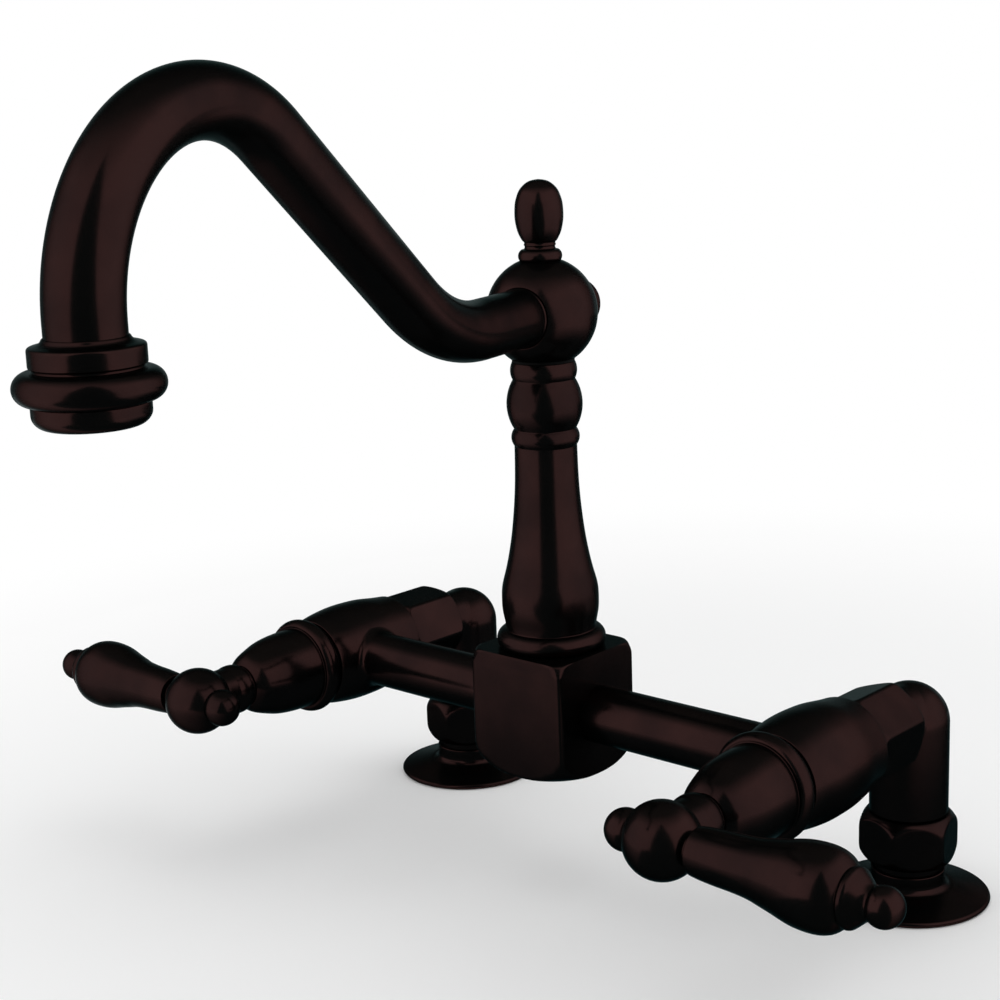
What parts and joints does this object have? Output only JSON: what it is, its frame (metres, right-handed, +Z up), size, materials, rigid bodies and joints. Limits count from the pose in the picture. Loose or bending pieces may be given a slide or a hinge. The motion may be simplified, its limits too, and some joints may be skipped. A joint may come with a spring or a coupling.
{
  "type": "kitchen faucet",
  "caption": "Deck-mounted bridge kitchen faucet with lever handles, a turned column and a high S-shaped swivel spout, in dark bronze.",
  "frame": {"origin": "on the deck, midway between the two inlets", "axes": "+X along the bridge to the right handle, -Y forward over the sink, +Z up"},
  "size_m": [0.357, 0.3259, 0.2824],
  "materials": {
    "bronze": "oil-rubbed dark bronze over brass, satin",
    "bare_brass": "machined",
    "seal_rubber": "matte",
    "white_plastic": "moulded",
    "black_acetal": "moulded",
    "steel_mesh": "plain",
    "ceramic": "lapped ceramic"
  },
  "bodies": {
    "bridge": {"centre_block": "bronze", "column": "bronze", "bridge_pipe_left": "bronze", "bridge_pipe_right": "bronze", "valve_barrel_left": "bronze", "valve_barrel_right": "bronze", "valve_bonnet_left": "bronze", "valve_bonnet_right": "bronze", "union_nut_left": "bronze", "union_nut_right": "bronze", "elbow_left": "bronze", "elbow_right": "bronze", "coupling_nut_left": "bronze", "coupling_nut_right": "bronze", "flange_left": "bronze", "flange_right": "bronze", "inlet_bushing_left": "bronze", "inlet_bushing_right": "bronze", "cartridge_body_left": "bare_brass", "cartridge_body_right": "bare_brass", "column_seal": "seal_rubber", "spout_seals": "seal_rubber", "cartridge_seal_left": "seal_rubber", "cartridge_seal_right": "seal_rubber", "union_washer_left": "seal_rubber", "union_washer_right": "seal_rubber", "coupling_washer_left": "seal_rubber", "coupling_washer_right": "seal_rubber", "glide_washer": "black_acetal", "disc_fixed_left": "ceramic", "disc_fixed_right": "ceramic"},
    "spout": {"spout_ball": "bronze", "spout_tube": "bronze", "finial": "bronze", "ball_plug": "bronze", "outlet_ferrule": "bronze", "aerator_washer": "seal_rubber", "aerator_housing": "bronze", "aerator_insert": "white_plastic", "aerator_screen": "steel_mesh"},
    "handle_left": {"handle_hub_left": "bronze", "handle_lever_left": "bronze", "handle_ball_screw_left": "bronze", "cartridge_stem_left": "bare_brass", "stem_seals_left": "seal_rubber", "disc_turning_left": "ceramic"},
    "handle_right": {"handle_hub_right": "bronze", "handle_lever_right": "bronze", "handle_ball_screw_right": "bronze", "cartridge_stem_right": "bare_brass", "stem_seals_right": "seal_rubber", "disc_turning_right": "ceramic"}
  },
  "joints": [
    {"name": "spout_swivel", "type": "hinge", "parent": "bridge", "child": "spout", "pos_m": [0, -0.0633, 0.1839], "axis": [0, 0, 1], "range_deg": [-104, 76]},
    {"name": "handle_turn_left", "type": "hinge", "parent": "bridge", "child": "handle_left", "pos_m": [-0.1016, -0.1361, 0.0655], "axis": [0, 1, 0], "range_deg": [0, 90]},
    {"name": "handle_turn_right", "type": "hinge", "parent": "bridge", "child": "handle_right", "pos_m": [0.1016, -0.1361, 0.0655], "axis": [0, -1, 0], "range_deg": [0, 90]}
  ]
}
